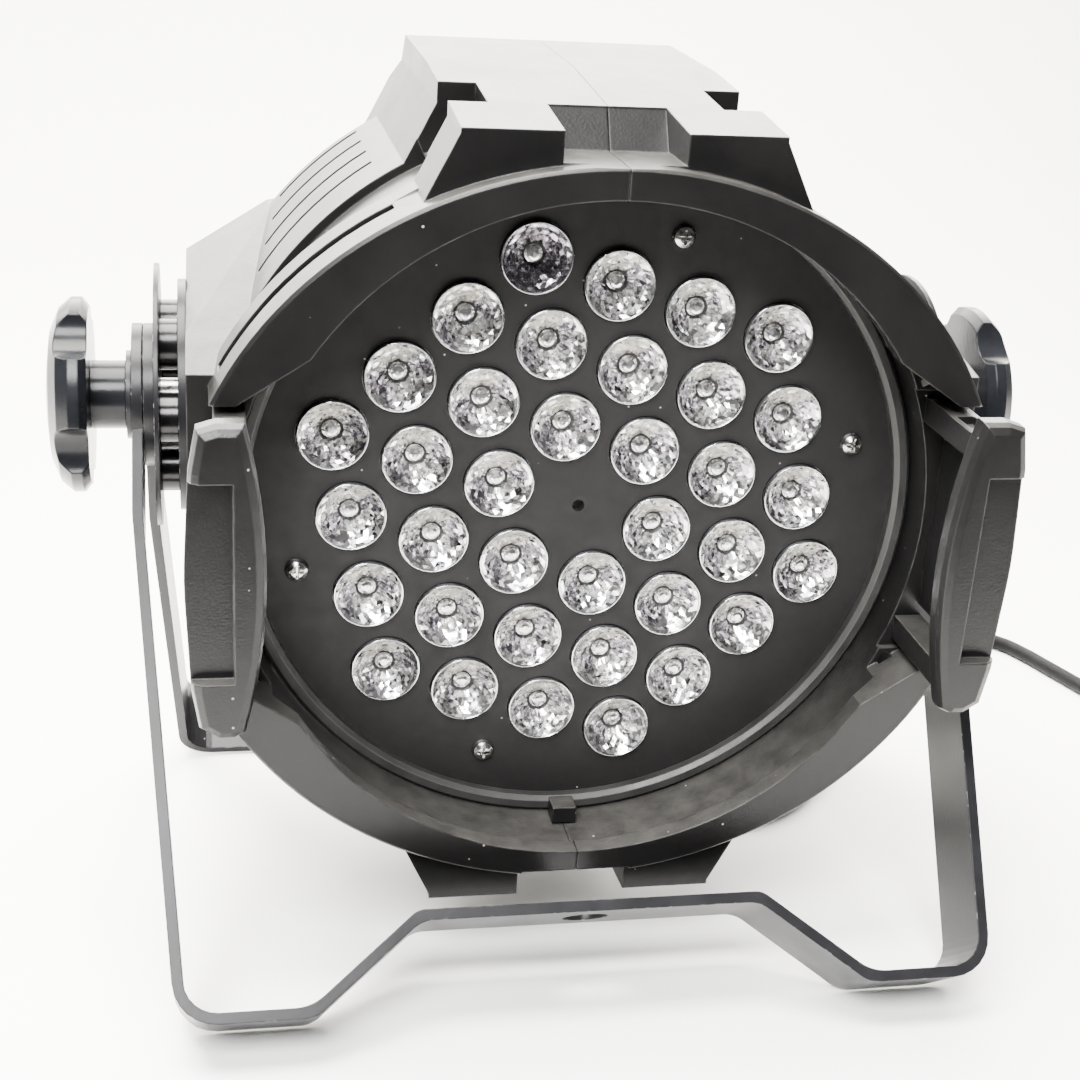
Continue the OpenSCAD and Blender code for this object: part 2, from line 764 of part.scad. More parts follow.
module cord_tail() {
    color(matt_black) sweep(tail_route, cord_r);
}

plug_turn = 124;

// The plug lies flat beside the coil, its pins pointing away along the cord
module at_plug() {
    translate([345, 121, 0]) rotate([0, 0, plug_turn]) children();
}

module plug_body() {
    color(matt_black) at_plug() {
        translate([0.1, 0, 3.1]) rotate([0, 90, 0]) cylinder(r1 = 3.1, r2 = 3.1, h = 3, $fn = 32);
        translate([3, -4.5, 0]) cube([12, 9, 8]);
        translate([14, -9, 0]) cube([18, 18, 14]);
        translate([31, -13, 0]) cube([6, 26, 18]);
    }
}

module plug_pins() {
    color([0.8, 0.8, 0.8]) at_plug() for (s = [-1, 1])
        translate([30, s * 7, 9]) rotate([0, 90, 0]) cylinder(r = 2.2, h = 24, $fn = 32);
}

// ---------- pivots, yokes and knobs ----------

module insert(side) {
    color([0.75, 0.65, 0.35]) head() sided(side) difference() {
        rod_x(8, 90, pad_x - 0.1);
        rod_x(bore_r, 88, 112);
    }
}

module insert_left() { insert(-1); }
module insert_right() { insert(1); }

module hub_disc(side) {
    color(steel_black) head() sided(side) difference() {
        rod_x(34, hub_in + 0.05, hub_post_x, fn = fine);
        rod_x(bore_r, 100, 120);
    }
}

module hub_disc_left() { hub_disc(-1); }
module hub_disc_right() { hub_disc(1); }

// Six short posts between the hub disc and the friction disc
module hub_posts(side) {
    color(matt_black) head() sided(side) for (a = [0 : 60 : 300])
        rod_x(7.25, hub_post_x + 0.02, disc_x - 0.02, pivot_y + 21.4 * cos(a), pivot_z + 21.4 * sin(a));
}

module hub_posts_left() { hub_posts(-1); }
module hub_posts_right() { hub_posts(1); }

module friction_disc(side) {
    color(steel_black) head() sided(side) difference() {
        rod_x(38.5, disc_x, disc_x + disc_t, fn = fine);
        rod_x(bore_r, 100, 125);
    }
}

module friction_disc_left() { friction_disc(-1); }
module friction_disc_right() { friction_disc(1); }

// Half widths of a yoke at its feet's inner ends and at its middle bar
foot_in = 76;
bar_half = 47;

// Outside of the strap from the right pivot to the left one, as [x, -distance]
function strap_line(top, foot) = [
    [top, 0], [top, -42], [foot, -yoke_len], [foot_in, -yoke_len], [bar_half, -yoke_bar],
    [-bar_half, -yoke_bar], [-foot_in, -yoke_len], [-foot, -yoke_len], [-top, -42], [-top, 0]
];
outer_radii = [0, 30, 12, 9, 9, 9, 9, 12, 30, 0];
inner_radii = [0, 27, 9, 12, 6, 6, 12, 9, 27, 0];

module strap_outline(top, foot) {
    outer = strap_line(top, foot);
    inner = side_path(outer, -strap_t);
    polygon(concat(rounded_path(outer, outer_radii),
        [for (i = [len(inner) - 1 : -1 : 0]) each i == 0 || i == len(inner) - 1 ? [inner[i]] :
            corner(inner[i + 1], inner[i], inner[i - 1], inner_radii[i])]));
}

// A yoke hangs straight down in its own frame, pivot at the origin
module yoke(top, foot) {
    difference() {
        union() {
            rotate([90, 0, 0]) linear_extrude(strap_w, center = true) strap_outline(top, foot);
            for (s = [-1, 1]) translate([s * (top - strap_t / 2), 0, 0]) rotate([0, 90, 0])
                cylinder(r = 21, h = strap_t, center = true, $fn = fine);
        }
        for (s = [-1, 1]) translate([s * (top - strap_t / 2), 0, 0]) rotate([0, 90, 0])
            cylinder(r = bore_r, h = 3 * strap_t, center = true, $fn = medium);
        translate([0, 0, -yoke_bar + strap_t / 2])
            cylinder(r = clamp_hole_r, h = 3 * strap_t, center = true, $fn = medium);
    }
}

module yoke_front() {
    color(steel_black) translate([0, 0, pivot_h]) rotate([-yoke_lean, 0, 0])
        yoke(strap_front_x + strap_t, 112);
}

module yoke_rear() {
    color(steel_black) translate([0, 0, pivot_h]) rotate([yoke_lean, 0, 0])
        yoke(strap_rear_x + strap_t, 112);
}

module washer(side) {
    color([0.6, 0.6, 0.6]) head() sided(side) difference() {
        rod_x(13, washer_x, washer_x + washer_t);
        rod_x(bore_r, 100, 130);
    }
}

module washer_left() { washer(-1); }
module washer_right() { washer(1); }

// Domed star knob on a round stem
module knob(side) {
    r = knob_d / 2;
    color(plastic_grey) head() sided(side) translate([0, pivot_y, pivot_z]) difference() {
        union() {
            translate([stem_x + 0.02, 0, 0]) rotate([0, 90, 0])
                cylinder(r = 10, h = knob_x - stem_x, $fn = medium);
            translate([knob_x, 0, 0]) rotate([0, 90, 0]) rotate_extrude($fn = fine)
                polygon([[0, 0], [r - 2.5, 0], [r, 2], [r, 5], [r - 3, 8.5], [r - 9, 11], [r - 17, knob_t],
                    [0, knob_t]]);
        }
        for (i = [0 : knob_lobes - 1]) rotate([i * 360 / knob_lobes, 0, 0])
            translate([knob_x - 1, 0, -r - 5]) rotate([0, 90, 0])
                cylinder(r = 10, h = knob_t + 4, $fn = medium);
        translate([100, 0, 0]) rotate([0, 90, 0]) cylinder(r = bore_r, h = 41, $fn = medium);
    }
}

module knob_left() { knob(-1); }
module knob_right() { knob(1); }

module stud(side) {
    color([0.6, 0.6, 0.6]) head() sided(side) rod_x(stud_r, 92, 140.5);
}

module stud_left() { stud(-1); }
module stud_right() { stud(1); }

shell_left();
shell_right();
arm_left();
arm_right();
seam_clip();
shell_screws();
lens_plate();
plate_bezel();
plate_screws();
plate_posts();
lenses();
lens_cups();
led_board();
led_chips();
heat_sink();
fan_frame();
fan_rotor();
psu_board();
psu_parts();
psu_posts();
rear_cover();
rear_screws();
control_board();
display_window();
button_menu();
button_up();
button_down();
button_enter();
dmx_in();
dmx_out();
dmx_pins();
fuse_holder();
fuse_cap();
safety_eye();
cable_gland();
cord_relief();
power_cord();
cord_coil();
cord_tail();
plug_body();
plug_pins();
insert_left();
insert_right();
hub_disc_left();
hub_disc_right();
hub_posts_left();
hub_posts_right();
friction_disc_left();
friction_disc_right();
yoke_front();
yoke_rear();
washer_left();
washer_right();
knob_left();
knob_right();
stud_left();
stud_right();
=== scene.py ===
"""Looks of the par can light: detailed pieces, materials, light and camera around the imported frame."""
import json
import math
import random

import bmesh
import bpy
from mathutils import Matrix, Vector


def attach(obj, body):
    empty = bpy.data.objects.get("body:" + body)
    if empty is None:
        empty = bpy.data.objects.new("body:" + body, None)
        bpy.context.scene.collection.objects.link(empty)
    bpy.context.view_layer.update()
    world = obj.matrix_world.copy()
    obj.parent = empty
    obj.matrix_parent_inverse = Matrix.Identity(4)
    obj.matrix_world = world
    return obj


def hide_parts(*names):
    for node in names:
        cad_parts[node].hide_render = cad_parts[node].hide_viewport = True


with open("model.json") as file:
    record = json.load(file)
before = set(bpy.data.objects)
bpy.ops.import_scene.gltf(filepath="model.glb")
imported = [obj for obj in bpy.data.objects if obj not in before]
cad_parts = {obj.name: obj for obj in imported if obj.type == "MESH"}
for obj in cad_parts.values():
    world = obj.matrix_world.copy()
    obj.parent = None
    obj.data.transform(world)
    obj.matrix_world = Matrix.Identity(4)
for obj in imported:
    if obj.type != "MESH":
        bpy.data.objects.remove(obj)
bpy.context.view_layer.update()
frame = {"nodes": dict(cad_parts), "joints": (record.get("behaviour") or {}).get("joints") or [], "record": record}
NODES = frame["nodes"]
JOINTS = {j["name"]: j for j in frame["joints"]}
MM = 0.001

# ---------- places, worked out from the frame ----------

BACK = Vector(JOINTS["fan_spin"]["axis"])
FAN_DEPTH = 58 * MM
TILT = math.atan2(BACK.z, BACK.y)
LENS_CENTRE = Vector(JOINTS["fan_spin"]["pos_m"]) - BACK * FAN_DEPTH
# The head's own frame: origin in the lens plate's front face, +Y backwards along the lamp
HEAD = Matrix.Translation(LENS_CENTRE) @ Matrix.Rotation(TILT, 4, "X")


# ---------- camera ----------

def add_camera():
    data = bpy.data.cameras.new("camera")
    data.sensor_width = 36
    data.lens = 58.5
    data.clip_start = 0.02
    camera = bpy.data.objects.new("camera", data)
    place = Vector((-0.1038, -0.5206, 0.2649))
    aim = Vector((-0.0032, -0.0221, 0.1158))
    roll = math.radians(2.43)
    turn = (aim - place).to_track_quat("-Z", "Y").to_matrix().to_4x4()
    camera.matrix_world = Matrix.Translation(place) @ turn @ Matrix.Rotation(roll, 4, "Z")
    bpy.context.scene.collection.objects.link(camera)
    bpy.context.scene.camera = camera


add_camera()


# ---------- node helpers ----------

class Paint:
    """A material under construction, with short ways to add nodes."""

    def __init__(self, name, **values):
        self.material = bpy.data.materials.new(name)
        self.material.use_nodes = True
        self.tree = self.material.node_tree
        self.shader = self.tree.nodes["Principled BSDF"]
        self.coords = self.add("ShaderNodeTexCoord").outputs["Object"]
        self.set(**values)

    def set(self, **values):
        for key, value in values.items():
            socket = self.shader.inputs[key.replace("_", " ").title().replace("Ior", "IOR")]
            socket.default_value = (*value, 1) if isinstance(value, tuple) else value

    def add(self, kind, **settings):
        node = self.tree.nodes.new(kind)
        for key, value in settings.items():
            setattr(node, key, value)
        return node

    def link(self, out, socket):
        self.tree.links.new(out, socket)

    def noise(self, scale, detail=3, rough=0.5, distortion=0):
        node = self.add("ShaderNodeTexNoise")
        node.inputs["Scale"].default_value = scale
        node.inputs["Detail"].default_value = detail
        node.inputs["Roughness"].default_value = rough
        node.inputs["Distortion"].default_value = distortion
        self.link(self.coords, node.inputs["Vector"])
        return node.outputs["Fac"]

    def cells(self, scale, feature="F1", out="Distance", coords=None):
        node = self.add("ShaderNodeTexVoronoi", feature=feature)
        node.inputs["Scale"].default_value = scale
        self.link(coords or self.coords, node.inputs["Vector"])
        return node.outputs[out]

    def remap(self, source, low, high, to_low=0.0, to_high=1.0):
        node = self.add("ShaderNodeMapRange")
        for key, value in zip(("From Min", "From Max", "To Min", "To Max"), (low, high, to_low, to_high)):
            node.inputs[key].default_value = value
        self.link(source, node.inputs["Value"])
        return node.outputs["Result"]

    def math(self, operation, a, b=0.5):
        node = self.add("ShaderNodeMath", operation=operation)
        for socket, value in zip(node.inputs, (a, b)):
            if isinstance(value, (int, float)):
                socket.default_value = value
            else:
                self.link(value, socket)
        return node.outputs["Value"]

    def mix(self, factor, a, b):
        node = self.add("ShaderNodeMix", data_type="RGBA")
        self.link(factor, node.inputs["Factor"])
        for key, value in (("A", a), ("B", b)):
            socket = [s for s in node.inputs if s.name == key and s.type == "RGBA"][0]
            if isinstance(value, tuple):
                socket.default_value = (*value, 1)
            else:
                self.link(value, socket)
        return [s for s in node.outputs if s.type == "RGBA"][0]

    def bump(self, height, strength, distance, normal=None):
        node = self.add("ShaderNodeBump")
        node.inputs["Strength"].default_value = strength
        node.inputs["Distance"].default_value = distance
        self.link(height, node.inputs["Height"])
        if normal:
            self.link(normal, node.inputs["Normal"])
        return node.outputs["Normal"]

    def round_edges(self, radius):
        node = self.add("ShaderNodeBevel", samples=6)
        node.inputs["Radius"].default_value = radius
        return node.outputs["Normal"]

    def edge_mask(self, rounded, low=0.02, high=0.25):
        geometry = self.add("ShaderNodeNewGeometry")
        dot = self.add("ShaderNodeVectorMath", operation="DOT_PRODUCT")
        self.link(rounded, dot.inputs[0])
        self.link(geometry.outputs["Normal"], dot.inputs[1])
        away = self.math("SUBTRACT", 1.0, dot.outputs["Value"])
        return self.remap(away, low, high)

    def up_mask(self, low=0.35, high=0.9):
        geometry = self.add("ShaderNodeNewGeometry")
        split = self.add("ShaderNodeSeparateXYZ")
        self.link(geometry.outputs["Normal"], split.inputs["Vector"])
        return self.remap(split.outputs["Z"], low, high)

    def base(self, colour):
        self.link(colour, self.shader.inputs["Base Color"])

    def rough(self, value):
        self.link(value, self.shader.inputs["Roughness"])

    def normal(self, value):
        self.link(value, self.shader.inputs["Normal"])


# ---------- materials ----------

def dust_specks(paint, scale=260, size=0.10, share=0.10):
    """Sparse small dots: a cell's middle, in the few cells that a random value picks."""
    near = paint.cells(scale)
    pick = paint.add("ShaderNodeSeparateColor")
    paint.link(paint.cells(scale, out="Color"), pick.inputs["Color"])
    dot = paint.remap(near, size, size * 0.6)
    chosen = paint.remap(pick.outputs[0], 1 - share, 1 - share + 0.02)
    return paint.math("MULTIPLY", dot, chosen)


def cast_black():
    """Satin black powder coat over a casting, lighter cream on top as dust and painted top light, a little worn at
    its edges.
    """
    p = Paint("cast_black", roughness=0.36, specular_ior_level=0.21)
    rounded = p.round_edges(0.7 * MM)
    cloud = p.noise(38, 4, 0.6)
    colour = p.mix(p.remap(cloud, 0.35, 0.7), (0.0042, 0.0040, 0.0041), (0.0062, 0.0059, 0.0058))
    # Up-facing faces mixed towards cream: partly dust, partly painted light falling from above
    dust_and_top_sheen = p.math("MULTIPLY", p.up_mask(), p.remap(p.noise(120, 5, 0.7), 0.30, 0.68, 0.10, 0.30))
    colour = p.mix(dust_and_top_sheen, colour, (0.13, 0.125, 0.115))
    worn = p.math("MULTIPLY", p.edge_mask(rounded, 0.03, 0.3), p.remap(p.noise(160, 3), 0.40, 0.62))
    colour = p.mix(p.math("MULTIPLY", worn, 0.35), colour, (0.16, 0.155, 0.15))
    colour = p.mix(dust_specks(p), colour, (0.34, 0.32, 0.29))
    p.base(colour)
    p.rough(p.remap(cloud, 0.3, 0.75, 0.30, 0.38))
    peel = p.bump(p.noise(1400, 2, 0.5), 0.22, 0.25 * MM, rounded)
    p.normal(p.bump(p.noise(90, 3, 0.5), 0.10, 0.6 * MM, peel))
    return p.material


def strap_black():
    """Black satin paint on bent steel strap, with fine rubs and small chips along its edges."""
    p = Paint("strap_black", roughness=0.36, specular_ior_level=0.17)
    rounded = p.round_edges(0.5 * MM)
    cloud = p.noise(60, 4, 0.6)
    colour = p.mix(p.remap(cloud, 0.35, 0.7), (0.006, 0.006, 0.0068), (0.010, 0.010, 0.0115))
    chips = p.math("MULTIPLY", p.edge_mask(rounded, 0.05, 0.3), p.remap(p.noise(420, 4, 0.6), 0.56, 0.64))
    colour = p.mix(chips, colour, (0.30, 0.29, 0.28))
    colour = p.mix(dust_specks(p, 300, 0.09, 0.07), colour, (0.30, 0.29, 0.27))
    p.base(colour)
    p.rough(p.remap(cloud, 0.3, 0.7, 0.28, 0.35))
    p.normal(p.bump(p.noise(900, 2, 0.5), 0.12, 0.2 * MM, rounded))
    return p.material


def plate_black():
    """Matt black painted sheet with a fine tooth and a few specks of dust."""
    p = Paint("plate_black", roughness=0.62, specular_ior_level=0.22)
    cloud = p.noise(25, 4, 0.6)
    colour = p.mix(p.remap(cloud, 0.3, 0.7), (0.0052, 0.0048, 0.0048), (0.0085, 0.0078, 0.0078))
    colour = p.mix(dust_specks(p, 330, 0.11, 0.06), colour, (0.30, 0.27, 0.23))
    p.base(colour)
    p.rough(p.remap(p.noise(140, 3), 0.3, 0.7, 0.52, 0.70))
    p.normal(p.bump(p.noise(2200, 2, 0.6), 0.3, 0.12 * MM))
    return p.material


def bezel_grey():
    """Dark rim round the lens plate, lighter along every edge as wear and painted edge highlight."""
    p = Paint("bezel_grey", roughness=0.5)
    rounded = p.round_edges(0.5 * MM)
    cloud = p.noise(70, 4, 0.6)
    colour = p.mix(p.remap(cloud, 0.3, 0.7), (0.010, 0.0095, 0.009), (0.020, 0.019, 0.018))
    # Every edge evenly lighter: partly wear, partly a painted edge highlight
    p.base(p.mix(p.math("MULTIPLY", p.edge_mask(rounded), 0.5), colour, (0.2, 0.19, 0.18)))
    p.rough(p.remap(cloud, 0.3, 0.7, 0.42, 0.6))
    p.normal(p.bump(p.noise(1200, 2), 0.15, 0.2 * MM, rounded))
    return p.material


def moulded(name, dark, light, low, high, grain=1500, edge=0.6, shine=0.3):
    """Moulded plastic with a fine spark-eroded grain."""
    p = Paint(name, roughness=(low + high) / 2, specular_ior_level=shine)
    rounded = p.round_edges(edge * MM)
    cloud = p.noise(80, 4, 0.6)
    p.base(p.mix(p.remap(cloud, 0.3, 0.7), dark, light))
    p.rough(p.remap(cloud, 0.3, 0.7, low, high))
    p.normal(p.bump(p.noise(grain, 2, 0.5), 0.15, 0.15 * MM, rounded))
    return p.material


def metal(name, dark, light, low, high, grain=300, stretch=(1, 1, 1), edge=0.3):
    """Bare or plated metal; stretch draws the grain out along an axis."""
    p = Paint(name, metallic=1.0)
    rounded = p.round_edges(edge * MM)
    mapping = p.add("ShaderNodeMapping")
    mapping.inputs["Scale"].default_value = stretch
    p.link(p.coords, mapping.inputs["Vector"])
    grain_noise = p.add("ShaderNodeTexNoise")
    grain_noise.inputs["Scale"].default_value = grain
    grain_noise.inputs["Detail"].default_value = 4
    p.link(mapping.outputs["Vector"], grain_noise.inputs["Vector"])
    p.base(p.mix(p.remap(grain_noise.outputs["Fac"], 0.3, 0.7), dark, light))
    p.rough(p.remap(grain_noise.outputs["Fac"], 0.3, 0.7, low, high))
    p.normal(p.bump(grain_noise.outputs["Fac"], 0.06, 0.1 * MM, rounded))
    return p.material


def lens_clear():
    """Clear moulded acrylic with a pebbled front and fine side facets."""
    p = Paint("lens_clear", base_color=(0.97, 0.98, 1.0), roughness=0.02, ior=1.49, transmission_weight=1.0)
    pebbles = p.cells(620)
    tint = p.mix(p.remap(p.noise(40, 2), 0.3, 0.7), (0.93, 0.95, 0.97), (1.0, 1.0, 1.0))
    p.base(tint)
    p.rough(p.remap(p.noise(300, 3), 0.3, 0.7, 0.0, 0.05))
    p.normal(p.bump(pebbles, 0.55, 0.5 * MM))
    return p.material


def cup_silver():
    """Bright reflecting bowl under clear acrylic, in small facets, with dark patches painted in as dark
    reflections.
    """
    p = Paint("cup_silver", metallic=1.0, roughness=0.12, coat_weight=0.6, coat_roughness=0.04)
    split = p.add("ShaderNodeSeparateColor")
    p.link(p.cells(900, out="Color"), split.inputs["Color"])
    facets = p.mix(split.outputs[0], (0.80, 0.79, 0.79), (1.0, 0.99, 0.98))
    # Dark patches on the silver: painted dark reflections
    painted_dark_patches = p.remap(p.noise(260, 2), 0.58, 0.70, 0.0, 0.3)
    p.base(p.mix(painted_dark_patches, facets, (0.23, 0.21, 0.24)))
    p.rough(p.remap(split.outputs[1], 0.0, 1.0, 0.10, 0.34))
    p.normal(p.bump(split.outputs[2], 0.08, 0.2 * MM))
    return p.material


def glowless(name, dark, light, low=0.3, high=0.5):
    return moulded(name, dark, light, low, high, 900, 0.2)


def rubber(name, dark=(0.006, 0.006, 0.006), light=(0.012, 0.0115, 0.011), shine=0.2):
    """Soft black sheath or rubber with a dull sheen."""
    p = Paint(name, roughness=0.6, specular_ior_level=shine)
    cloud = p.noise(150, 4, 0.6)
    p.base(p.mix(p.remap(cloud, 0.3, 0.7), dark, light))
    p.rough(p.remap(cloud, 0.3, 0.7, 0.45, 0.62))
    p.normal(p.bump(p.noise(1800, 2), 0.15, 0.15 * MM, p.round_edges(0.4 * MM)))
    return p.material


def window_red():
    """Smoked red display window."""
    p = Paint("window_red", roughness=0.12, coat_weight=0.4)
    p.base(p.mix(p.remap(p.noise(60, 3), 0.3, 0.7), (0.035, 0.002, 0.002), (0.06, 0.004, 0.004)))
    p.rough(p.remap(p.noise(90, 3), 0.3, 0.7, 0.08, 0.2))
    return p.material


MATERIALS = {
    "cast_black": cast_black(),
    "yoke_black": strap_black(),
    "plate_black": plate_black(),
    "bezel_grey": bezel_grey(),
    "lens_clear": lens_clear(),
    "cup_silver": cup_silver(),
    # The next two finishes are painted reflections for the bowl facets: a warm painted reflection for the top, a
    # dark painted reflection for two sides
    "cup_painted_warm_reflection": metal("cup_painted_warm_reflection", (0.70, 0.66, 0.58), (0.88, 0.84, 0.76), 0.22, 0.40, 900),
    "cup_painted_dark_reflection": metal("cup_painted_dark_reflection", (0.26, 0.24, 0.28), (0.46, 0.43, 0.47), 0.15, 0.30, 900),
    "lens_rim": metal("lens_rim", (0.72, 0.73, 0.75), (0.90, 0.90, 0.91), 0.08, 0.18, 900),
    "cup_black": moulded("cup_black", (0.010, 0.010, 0.010), (0.020, 0.020, 0.020), 0.4, 0.55),
    "board_white": glowless("board_white", (0.62, 0.62, 0.60), (0.78, 0.78, 0.75)),
    "chip_yellow": glowless("chip_yellow", (0.75, 0.60, 0.15), (0.85, 0.72, 0.25)),
    "sink_aluminium": metal(
        "sink_aluminium", (0.45, 0.46, 0.47), (0.66, 0.67, 0.68), 0.3, 0.5, 200, (1, 8, 1)
    ),
    "screw_chrome": metal("screw_chrome", (0.34, 0.33, 0.32), (0.55, 0.54, 0.52), 0.14, 0.28, 500),
    "zinc_steel": metal("zinc_steel", (0.40, 0.40, 0.39), (0.58, 0.58, 0.57), 0.25, 0.42, 400),
    "knob_grey": moulded(
        "knob_grey", (0.0045, 0.005, 0.006), (0.008, 0.0085, 0.010), 0.18, 0.28, 1200, 0.8, 0.14
    ),
    "rubber_black": moulded(
        "rubber_black", (0.002, 0.002, 0.002), (0.004, 0.004, 0.004), 0.16, 0.26, 900, 0.4, 0.25
    ),
    "fan_black": moulded("fan_black", (0.012, 0.012, 0.013), (0.022, 0.022, 0.023), 0.35, 0.5),
    "pcb_green": glowless("pcb_green", (0.008, 0.10, 0.035), (0.015, 0.16, 0.06)),
    "part_yellow": glowless("part_yellow", (0.55, 0.42, 0.05), (0.72, 0.58, 0.10)),
    "brass": metal("brass", (0.55, 0.40, 0.16), (0.76, 0.60, 0.30), 0.2, 0.35, 300),
    "window_red": window_red(),
    "button_black": moulded("button_black", (0.03, 0.03, 0.032), (0.05, 0.05, 0.053), 0.3, 0.45),
    "cord_black": rubber("cord_black", (0.003, 0.003, 0.003), (0.005, 0.005, 0.005), 0.05),
}

for entry in frame["record"]["subparts"]:
    mesh = NODES[entry["node"]].data
    mesh.materials.clear()
    mesh.materials.append(MATERIALS[entry["material_slot"]])


# ---------- mesh helpers ----------

def add_mesh(name, bm, material, body, place=None, smooth=40):
    """Turn a bmesh into a piece that rides on a body."""
    bmesh.ops.recalc_face_normals(bm, faces=bm.faces)
    mesh = bpy.data.meshes.new(name)
    if place is not None:
        bm.transform(place)
    bm.to_mesh(mesh)
    bm.free()
    mesh.materials.append(MATERIALS[material])
    piece = bpy.data.objects.new(name, mesh)
    bpy.context.scene.collection.objects.link(piece)
    if smooth:
        mesh.polygons.foreach_set("use_smooth", [True] * len(mesh.polygons))
        mesh.set_sharp_from_angle(angle=math.radians(smooth))
    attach(piece, body)
    return piece


def lathe(bm, profile, steps=32, place=None):
    """Turn [radius, along] about +Y. A radius of 0 makes a pole."""
    rings = []
    for radius, along in profile:
        if radius < 1e-7:
            rings.append([bm.verts.new((0, along, 0))])
            continue
        angles = [2 * math.pi * k / steps for k in range(steps)]
        rings.append([bm.verts.new((radius * math.cos(a), along, radius * math.sin(a))) for a in angles])
    made = [v for ring in rings for v in ring]
    for a, b in zip(rings, rings[1:]):
        for k in range(steps):
            n = (k + 1) % steps
            corners = [a[k % len(a)], a[n % len(a)], b[n % len(b)], b[k % len(b)]]
            corners = list(dict.fromkeys(corners))
            if len(corners) > 2:
                bm.faces.new(corners)
    if place is not None:
        bmesh.ops.transform(bm, matrix=place, verts=made)
    return made


# ---------- power cord ----------

CORD_R = 3.1 * MM
RELIEF_TIP = HEAD @ (Vector((34, 159, -48)) * MM)
DROP = [
    (34, 110.8, 106.05), (34, 118, 102.8), (34, 124, 94), (34, 127.5, 84), (34, 127, 76), (34, 123, 68),
    (34, 115, 59), (34.5, 105, 49.5), (35, 94, 40), (36.5, 82, 31), (39.5, 70, 22), (43.5, 59, 14),
    (47.5, 50, 8), (51.5, 42, 4.5)
]
ROUTE = [
    (54, 36, 3.1), (58, 26, 3.1), (67, 19, 3.1), (79, 17, 3.1), (92, 21, 3.1), (104, 30, 3.1),
    (116, 44, 3.1), (130, 64, 3.1), (146, 88, 3.1), (164, 114, 3.1), (183, 140, 3.1),
    (202, 165, 3.1), (218, 182, 3.1), (232, 190, 3.1), (244, 189, 3.1), (253, 180, 3.1),
    (258, 165, 3.1), (261, 148, 3.1), (264, 130, 3.1), (267, 112, 3.1), (270, 99, 3.1)
]

COIL_AT = Vector((312, 84))
COIL_RADII = (39.2, 33.0, 26.8)
TAIL = [(353, 92, 8.7), (353.5, 102, 5), (350.5, 112, 3.1), (345, 121, 3.1)]


def coil_points():
    """Three turns inwards on the floor, a step up, and three turns outwards on top."""
    points = []
    steps = 16
    turns = 5.5
    total = int(steps * turns)
    half = total / 2
    for k in range(total + 1):
        angle = math.pi + 2 * math.pi * k / steps
        inwards = k / half if k <= half else (total - k) / half
        place = min(max(inwards * 3 - 0.5, 0), 2)
        lane = math.floor(place) + min(max((place % 1 - 0.6) / 0.4, 0), 1)
        radius = COIL_RADII[0] + (COIL_RADII[2] - COIL_RADII[0]) * lane / 2
        rise = min(max((k - half + 3) / 6, 0), 1)
        x, y = COIL_AT.x + radius * math.cos(angle), COIL_AT.y + radius * math.sin(angle)
        points.append((x, y, 3.15 + 6.2 * rise))
    return points


def smooth_curve(name, points, radius, material, body):
    """A round tube through every point."""
    data = bpy.data.curves.new(name, "CURVE")
    data.dimensions = "3D"
    data.bevel_depth = radius
    data.bevel_resolution = 4
    data.resolution_u = 6
    spline = data.splines.new("BEZIER")
    spline.bezier_points.add(len(points) - 1)
    for knot, point in zip(spline.bezier_points, points):
        knot.co = point
        knot.handle_left_type = knot.handle_right_type = "AUTO"
    data.use_fill_caps = True
    data.materials.append(MATERIALS[material])
    piece = bpy.data.objects.new(name, data)
    bpy.context.scene.collection.objects.link(piece)
    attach(piece, body)
    return piece


free_points = [Vector(p) * MM for p in DROP + ROUTE]
whole_route = [RELIEF_TIP, *free_points, *[Vector(p) * MM for p in coil_points() + TAIL]]
cord = smooth_curve("mains_cord", whole_route, CORD_R, "cord_black", "head")
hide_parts("power_cord", "cord_coil", "cord_tail")

# ---------- lens optics ----------

LENS_PITCH = 24 * MM
LENS_TURN = math.radians(17.1)
# Material indices of the facets in a bowl: bright, dark, a painted warm reflection and a painted dark reflection
BRIGHT, DARK, PAINTED_WARM_REFLECTION, PAINTED_DARK_REFLECTION = range(4)
# Profiles in millimetres, as [radius, depth behind the plate's front face]
RIM = [(9.8, 1.9), (9.8, -1.0), (9.65, -1.35), (9.35, -1.4), (9.15, -1.1)]
BOWL = [
    (9.15, -1.1), (8.3, -0.5), (7.4, 0.2), (6.5, 1.0), (5.6, 1.9), (4.7, 2.9), (3.3, 4.4), (2.5, 5.0)
]
DOME = [(2.5, 5.0), (2.0, 5.2), (1.95, 4.0), (1.7, 3.7), (1.0, 3.5), (0, 3.45)]
FACETS = 30


def lens_places():
    """Seven rows in a hexagon, without the middle place."""
    places = []
    for row in range(-3, 4):
        count = 7 - abs(row)
        for k in range(count):
            a, b = (k - (count - 1) / 2) * LENS_PITCH, row * LENS_PITCH * math.sqrt(3) / 2
            if abs(a) + abs(b) > MM:
                c, s = math.cos(LENS_TURN), math.sin(LENS_TURN)
                places.append(Vector((a * c + b * s, 0, b * c - a * s)))
    return places


def facet_kind(angle, level, last, rng):
    """Which material a facet has: painted dark reflections at two opposite sides, a painted warm reflection at the
    top, dark round the dome.
    """
    def off(middle):
        return abs((angle - middle + 180) % 360 - 180)
    if level == last:
        return DARK
    # Painted dark reflection at two opposite sides, painted warm reflection at the top
    if level and min(off(22), off(204)) < 30:
        return PAINTED_DARK_REFLECTION if rng.random() < 0.55 else BRIGHT
    if off(95) < 42:
        return PAINTED_WARM_REFLECTION if rng.random() < 0.75 else BRIGHT
    return PAINTED_DARK_REFLECTION if rng.random() < 0.07 else BRIGHT


